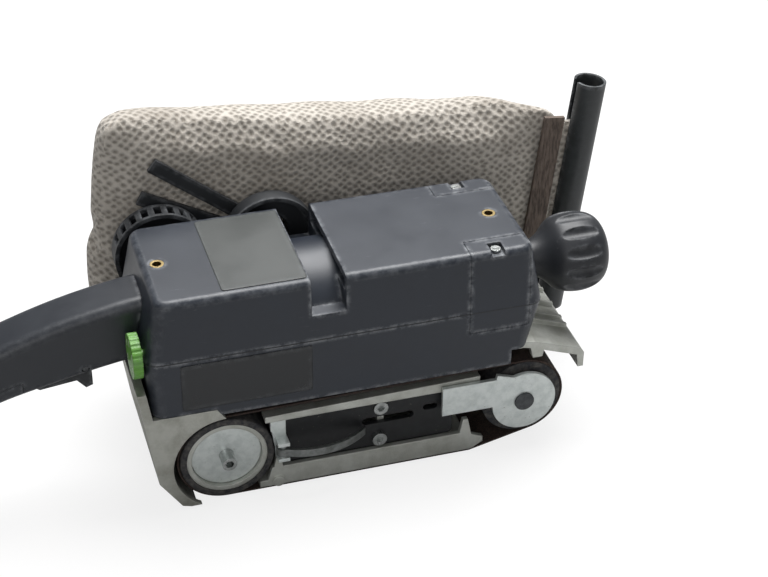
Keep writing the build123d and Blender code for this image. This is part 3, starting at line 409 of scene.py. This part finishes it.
def add_world():
    """Even pale studio; it is white where seen directly or through something clear."""
    world = bpy.data.worlds.new("studio")
    world.use_nodes = True
    tree = world.node_tree
    tree.nodes.clear()
    output = tree.nodes.new("ShaderNodeOutputWorld")
    rays = add_node(tree, "ShaderNodeLightPath")
    direct, through = rays.outputs["Is Camera Ray"], rays.outputs["Is Transmission Ray"]
    seen = math_node(tree, "MAXIMUM", direct, through)
    strength = ramp(tree, seen, 0.0, 1.0, 0.26, 1.0)
    back = add_node(
        tree, "ShaderNodeBackground", {"Color": (1, 1, 1, 1), "Strength": strength}
    )
    tree.links.new(back.outputs[0], output.inputs[0])
    bpy.context.scene.world = world


def add_floor():
    """Pale matt floor under the sole; the light makes it white, the object shades it."""
    mesh = bpy.data.meshes.new("floor")
    form = bmesh.new()
    bmesh.ops.create_grid(form, x_segments=1, y_segments=1, size=6.0)
    bmesh.ops.translate(form, verts=form.verts, vec=(0, 0, -0.2 * MM))
    form.to_mesh(mesh)
    form.free()
    floor = bpy.data.objects.new("floor", mesh)
    bpy.context.scene.collection.objects.link(floor)
    material, tree, output = new_material("pale_floor")
    place = object_place(tree)
    tone = ramp(tree, noise_at(tree, place, 0.4), 0.3, 0.7)
    base = mix_colour(tree, tone, linear("#fbfbfb"), linear("#ffffff"))
    rays = add_node(tree, "ShaderNodeLightPath").outputs["Is Camera Ray"]
    base = mix_colour(tree, rays, linear("#b2b2b2"), base)
    matt = add_node(tree, "ShaderNodeBsdfDiffuse", {"Color": base})
    glow = add_node(tree, "ShaderNodeEmission", {"Color": (1, 1, 1, 1), "Strength": 1.0})
    share = ramp(tree, rays, 0.0, 1.0, 0.0, 0.8)
    mixed = add_node(
        tree, "ShaderNodeMixShader", {0: share, 1: matt.outputs[0], 2: glow.outputs[0]}
    )
    tree.links.new(mixed.outputs[0], output.inputs[0])
    mesh.materials.append(material)


add_camera()
add_world()
add_floor()
add_area("top_lamp", (0.3, 0.55, 1.6), (0.0, 0.0, 0.05), 1.2, 50.0)
add_area("side_lamp", (-0.6, -1.7, 1.1), (0.0, 0.0, 0.08), 1.2, 6.5)

bpy.context.scene.view_settings.view_transform = "Standard"


# ---- pieces ---------------------------------------------------------------------------
def new_piece(name, form, material, body, smooth=True):
    """Object from a bmesh that rides on a body."""
    mesh = bpy.data.meshes.new(name)
    form.to_mesh(mesh)
    form.free()
    for face in mesh.polygons:
        face.use_smooth = smooth
    mesh.materials.append(material)
    piece = bpy.data.objects.new(name, mesh)
    bpy.context.scene.collection.objects.link(piece)
    if body:
        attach(piece, body)
    return piece


def seam_band():
    """Dark line where the two housing shells meet."""
    low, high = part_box("upper_housing")
    half_x, half_y = (high[0] - low[0]) / 2, (high[1] - low[1]) / 2
    middle, height, corner = (low[0] + high[0]) / 2, low[2], 8 * MM
    proud, tall = 0.06 * MM, 0.7 * MM
    outline = []
    for sx, sy, start in ((1, 1, 0), (-1, 1, 90), (-1, -1, 180), (1, -1, 270)):
        centre = (middle + sx * (half_x - corner), sy * (half_y - corner))
        for step in range(9):
            angle = radians(start + step * 90 / 8)
            reach = corner + proud
            outline.append((centre[0] + reach * cos(angle), centre[1] + reach * sin(angle)))
    form = bmesh.new()
    lower = [form.verts.new((x, y, height - tall / 2)) for x, y in outline]
    upper = [form.verts.new((x, y, height + tall / 2)) for x, y in outline]
    count = len(outline)
    for i in range(count):
        j = (i + 1) % count
        form.faces.new((lower[i], lower[j], upper[j], upper[i]))
    return new_piece("seam_band", form, knob_nylon, "chassis", smooth=False)


DIGIT_SIZE = 5.2 * MM
DIGIT_RING = 8.6 * MM          # radius of the circle the digits stand on


def dial_digits():
    """Plain digits 1 to 6 round the dial's rear face."""
    low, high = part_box("speed_dial")
    face_x, centre_y, centre_z = low[0], (low[1] + high[1]) / 2, (low[2] + high[2]) / 2
    pale = moulded_plastic("digit_paint", "#e9ece4", "#d5d9cf", 0.5, wear=0.1)
    for digit in range(1, 7):
        angle = radians(150 - 60 * (digit - 1))
        curve = bpy.data.curves.new(f"digit_{digit}", "FONT")
        curve.body = str(digit)
        curve.size = DIGIT_SIZE
        curve.align_x = "CENTER"
        curve.align_y = "CENTER"
        curve.extrude = 0.06 * MM
        text = bpy.data.objects.new(f"digit_{digit}", curve)
        bpy.context.scene.collection.objects.link(text)
        bpy.context.view_layer.update()
        graph = bpy.context.evaluated_depsgraph_get()
        mesh = bpy.data.meshes.new_from_object(text.evaluated_get(graph))
        bpy.data.objects.remove(text)
        across, up = DIGIT_RING * cos(angle), DIGIT_RING * sin(angle)
        spot = Vector((face_x - 0.05 * MM, centre_y + across, centre_z + up))
        axes = Matrix(((0, 0, -1), (-1, 0, 0), (0, 1, 0)))
        mesh.transform(Matrix.Translation(spot) @ axes.to_4x4())
        mesh.materials.clear()
        mesh.materials.append(pale)
        piece = bpy.data.objects.new(f"dial_digit_{digit}", mesh)
        bpy.context.scene.collection.objects.link(piece)
        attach(piece, "dial")


TILT = radians(6.3)
BAG_LENGTH, BAG_HEIGHT = 284.0 * MM, 140.0 * MM
BAG_NEAR, BAG_FAR = 62.0 * MM, 118.0 * MM
BAG_X, BAG_Z = 11.0 * MM, 117.0 * MM
BAG_CORNER = 15 * MM
CLOTH_VOXEL = 5.0 * MM
CLOTH_PRESSURE = 4.0
CLOTH_FRAMES = 20
MOST_MOVED = 6 * MM            # cap on how far the cloth may be blown
HEM_HALF = 55.0                # half the hem's height, in mm
HEM_STEPS = 28
HEM_PROFILE = [                # round the hem's section: along the bag and y, in mm
    (120, 66), (130, 69.5), (143, 70.6), (148, 70.2), (151.5, 71),
    (151.5, 73), (148, 73.8), (143, 73.4), (130, 74.5), (120, 80),
]


def bag_axes():
    """Centre and the bag's own directions, lengthways and upright."""
    centre = Vector((BAG_X, (BAG_NEAR + BAG_FAR) / 2, BAG_Z))
    along = Vector((cos(TILT), 0, -sin(TILT)))
    upright = Vector((sin(TILT), 0, cos(TILT)))
    return centre, along, upright


def bag_start():
    """Closed pillow: a tilted box with rounded edges and corners."""
    centre, along, upright = bag_axes()
    form = bmesh.new()
    bmesh.ops.create_cube(form, size=1.0)
    bmesh.ops.subdivide_edges(form, edges=form.edges[:], cuts=23, use_grid_fill=True)
    half = Vector((BAG_LENGTH / 2, (BAG_FAR - BAG_NEAR) / 2, BAG_HEIGHT / 2))
    for vert in form.verts:
        place = Vector([2 * c * h for c, h in zip(vert.co, half)])
        core = Vector([
            max(-h + BAG_CORNER, min(h - BAG_CORNER, c)) for c, h in zip(place, half)
        ])
        away = place - core
        if away.length > 0:
            place = core + away.normalized() * min(BAG_CORNER, max(abs(c) for c in away))
        vert.co = centre + along * place.x + Vector((0, place.y, 0)) + upright * place.z
    mesh = bpy.data.meshes.new("dust_bag_cloth")
    form.to_mesh(mesh)
    form.free()
    piece = bpy.data.objects.new("dust_bag_cloth", mesh)
    bpy.context.scene.collection.objects.link(piece)
    return piece


def fit_bag(piece):
    """Stretches the blown cloth back to the bag's sewn length, depth and height."""
    centre, along, upright = bag_axes()
    axes = (along, Vector((0, 1, 0)), upright)
    places = [[(vert.co - centre).dot(axis) for axis in axes] for vert in piece.data.vertices]
    depth = (BAG_FAR - BAG_NEAR) / 2
    wanted = (
        (-BAG_LENGTH / 2 - 8 * MM, BAG_LENGTH / 2 - 1 * MM),
        (-depth, depth + 3 * MM),
        (-BAG_HEIGHT / 2, BAG_HEIGHT / 2),
    )
    spans = [(min(p[i] for p in places), max(p[i] for p in places)) for i in range(3)]
    for vert, place in zip(piece.data.vertices, places):
        new = [
            start + (value - low) / (high - low) * (end - start)
            for value, (low, high), (start, end) in zip(place, spans, wanted)
        ]
        thick = 1 - 0.45 * abs(new[2] / (BAG_HEIGHT / 2)) ** 3
        thick *= 1 - 0.3 * max(0.0, -new[0] / (BAG_LENGTH / 2)) ** 4
        run = min(1.0, max(0.0, (new[0] - 80 * MM) / (60 * MM)))
        thick *= 1 - 0.86 * run * run * (3 - 2 * run)
        new[1] = -depth + (new[1] + depth) * thick
        vert.co = centre + sum((axis * value for axis, value in zip(axes, new)), Vector())


def apply_modifiers(piece):
    """Turns the evaluated shape into the piece's own mesh."""
    graph = bpy.context.evaluated_depsgraph_get()
    mesh = bpy.data.meshes.new_from_object(piece.evaluated_get(graph))
    piece.modifiers.clear()
    piece.data = mesh


def inflate(piece, most):
    """Blows the cloth up a little so its panels crown and wrinkle."""
    remesh = piece.modifiers.new("remesh", "REMESH")
    remesh.mode = "VOXEL"
    remesh.voxel_size = CLOTH_VOXEL
    apply_modifiers(piece)
    start = [vert.co.copy() for vert in piece.data.vertices]
    cloth = piece.modifiers.new("cloth", "CLOTH")
    cloth.settings.use_pressure = True
    cloth.settings.uniform_pressure_force = CLOTH_PRESSURE
    cloth.settings.effector_weights.gravity = 0.0
    cloth.settings.quality = 4
    cloth.settings.tension_stiffness = 8
    cloth.settings.compression_stiffness = 8
    scene = bpy.context.scene
    for step in range(1, CLOTH_FRAMES + 1):
        scene.frame_set(step)
    apply_modifiers(piece)
    scene.frame_set(1)
    for vert, before in zip(piece.data.vertices, start):
        moved = vert.co - before
        if moved.length > most:
            vert.co = before + moved.normalized() * most


def wrinkle(piece):
    """Slack folds and a wavy top edge, kept inside the bag's space."""
    centre, along, upright = bag_axes()
    for vert in piece.data.vertices:
        place = vert.co - centre
        x, y, z = place.dot(along), place.y, place.dot(upright)
        wave = noise.noise(Vector((x / 0.035, y / 0.05, z / 0.05))) * 2.4 * MM
        fold = noise.noise(Vector((x / 0.016 + 5, y / 0.03, z / 0.022))) * 1.0 * MM
        out = Vector((0, 1 if y > 0 else -1, 0)) * (wave + fold)
        rim = upright * noise.noise(Vector((x / 0.05 + 9, y / 0.1, 3))) * 3.0 * MM
        if z > 0:
            vert.co += rim * (z / (BAG_HEIGHT / 2))
        vert.co += out * (0.6 if abs(y) < 20 * MM else 1.0)
        front, back = BAG_NEAR - 0.5 * MM, BAG_FAR + 5 * MM
        vert.co.y = max(front, min(back, vert.co.y))


def unwrap_cloth(mesh):
    """UV in metres: lengthways and round the bag's girth."""
    centre, along, upright = bag_axes()
    layer = mesh.uv_layers.new(name="cloth")
    depth = (BAG_FAR - BAG_NEAR) / 2
    for face in mesh.polygons:
        out = face.normal
        side, top, end = out.y, out.dot(upright), out.dot(along)
        for loop in face.loop_indices:
            place = mesh.vertices[mesh.loops[loop].vertex_index].co - centre
            x, y, z = place.dot(along), place.y, place.dot(upright)
            if abs(end) > max(abs(side), abs(top)):
                reach = BAG_LENGTH / 2 + depth + y
                spot = (reach if end > 0 else -reach, z)
            elif abs(side) >= abs(top):
                spot = (x, z) if side < 0 else (x, BAG_HEIGHT + 2 * depth - z)
            else:
                reach = BAG_HEIGHT / 2 + depth + y
                spot = (x, reach if top > 0 else -reach)
            layer.data[loop].uv = spot


def make_bag():
    piece = bag_start()
    inflate(piece, MOST_MOVED)
    fit_bag(piece)
    wrinkle(piece)
    smooth = piece.modifiers.new("smooth", "SUBSURF")
    smooth.levels = 1
    smooth.render_levels = 1
    apply_modifiers(piece)
    unwrap_cloth(piece.data)
    for face in piece.data.polygons:
        face.use_smooth = True
    piece.data.materials.clear()
    piece.data.materials.append(knit)
    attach(piece, "bag")
    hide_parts("dust_bag")
    return piece


def bag_hem():
    """Doubled cloth end of the bag, drawn into the clamp tube, with a rolled edge."""
    centre, along, upright = bag_axes()
    form = bmesh.new()
    rows = []
    for step in range(HEM_STEPS + 1):
        z = (-HEM_HALF + 2 * HEM_HALF * step / HEM_STEPS) * MM
        ripple = sin(step * 1.7) * 0.35 * MM
        row = []
        for x, y in HEM_PROFILE:
            side = ripple if x < 140 else 0.0
            row.append(form.verts.new(
                centre + along * x * MM + Vector((0, y * MM + side - centre.y, 0)) + upright * z
            ))
        rows.append(row)
    count = len(HEM_PROFILE)
    for first, second in zip(rows, rows[1:]):
        for i in range(count):
            j = (i + 1) % count
            form.faces.new((first[i], first[j], second[j], second[i]))
    form.faces.new(rows[0][::-1])
    form.faces.new(rows[-1])
    bmesh.ops.recalc_face_normals(form, faces=form.faces[:])
    piece = new_piece("bag_hem", form, knit, "bag")
    unwrap_cloth(piece.data)


seam_band()
dial_digits()
make_bag()
bag_hem()
